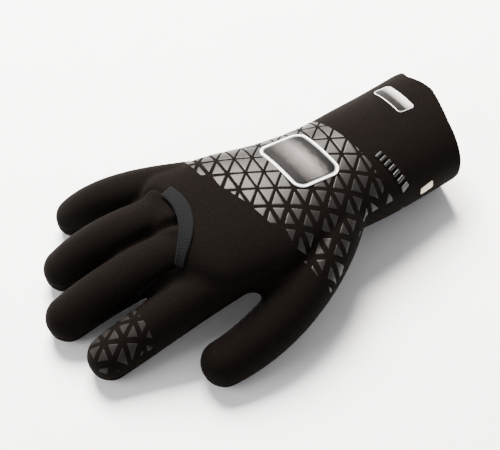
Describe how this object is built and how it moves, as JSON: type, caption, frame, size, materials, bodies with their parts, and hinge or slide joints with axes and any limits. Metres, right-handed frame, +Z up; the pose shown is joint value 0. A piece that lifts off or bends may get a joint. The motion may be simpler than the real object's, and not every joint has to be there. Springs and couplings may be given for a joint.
{
  "type": "diving glove",
  "caption": "Right-hand five-finger neoprene diving glove lying palm down, fingers curved, with a set-in two-finger back panel and tape over its seam.",
  "frame": {"origin": "middle of the glove's plan, on the surface it lies on", "axes": "+X towards the mouth of the cuff, +Y towards the little finger, +Z up from the surface, with the palm down"},
  "size_m": [0.2794, 0.17, 0.0654],
  "materials": {
    "neoprene": "black nylon jersey laminated on 5 mm neoprene, matt, with a fine knitted grain",
    "tape": "slate grey knitted tape, matt, stitched down along its inner edge",
    "badge": "silver grey transfer film with a light outline, smooth and half gloss",
    "label": "dark to silver grey transfer film with a thin light outline, half gloss"
  },
  "bodies": {
    "root": {"palm_panel": "neoprene", "back_panel": "neoprene", "middle_fingers_panel": "neoprene", "knuckle_tape": "tape", "back_badge": "badge", "cuff_label": "label"}
  },
  "joints": []
}
